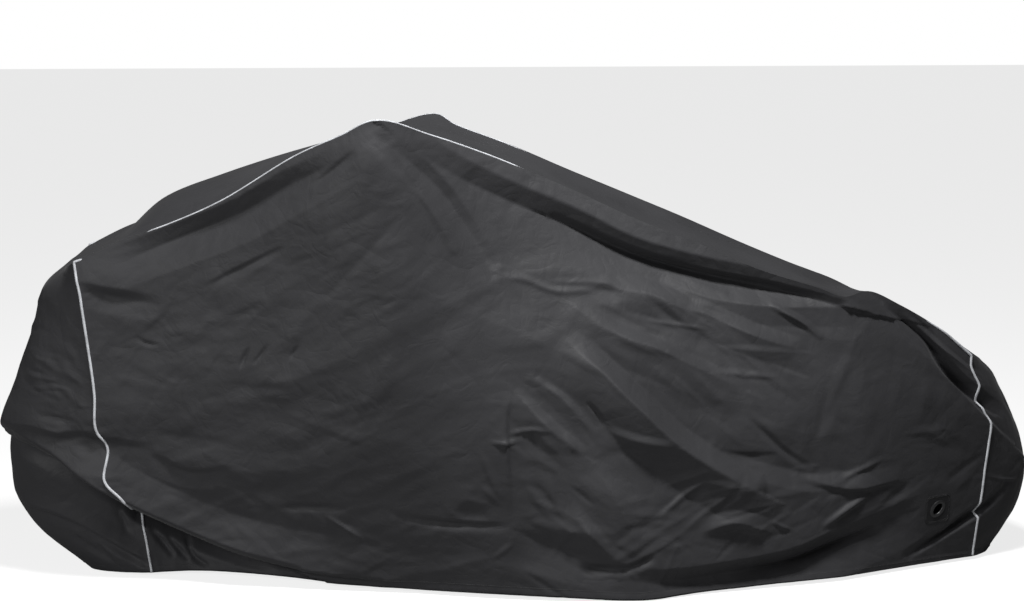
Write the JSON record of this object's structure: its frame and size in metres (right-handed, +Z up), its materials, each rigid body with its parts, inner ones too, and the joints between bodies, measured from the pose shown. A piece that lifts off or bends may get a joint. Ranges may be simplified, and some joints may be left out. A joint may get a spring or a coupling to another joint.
{
  "type": "bicycle cover",
  "caption": "Fitted cloth cover for a long cargo bicycle, hanging over its handlebar and wheels, with light piping in the seams and an oval eyelet low on each side.",
  "frame": {"origin": "on the floor, under the middle of the cover's box", "axes": "+X along the bicycle towards the end with the eyelets, +Y to the far side, +Z up"},
  "size_m": [2.4906, 0.778, 1.1072],
  "materials": {
    "cloth": "dark grey coated polyester, a soft gloss",
    "piping": "light grey reflective piping",
    "patch": "darker, heavier coated cloth",
    "ring": "black moulded eyelet"
  },
  "bodies": {
    "root": {"side_panel_near": "cloth", "side_panel_far": "cloth", "top_band": "cloth", "piping_near": "piping", "piping_far": "piping", "eyelet_patch_near": "patch", "eyelet_patch_far": "patch", "eyelet_ring_near": "ring", "eyelet_ring_far": "ring"}
  },
  "joints": []
}
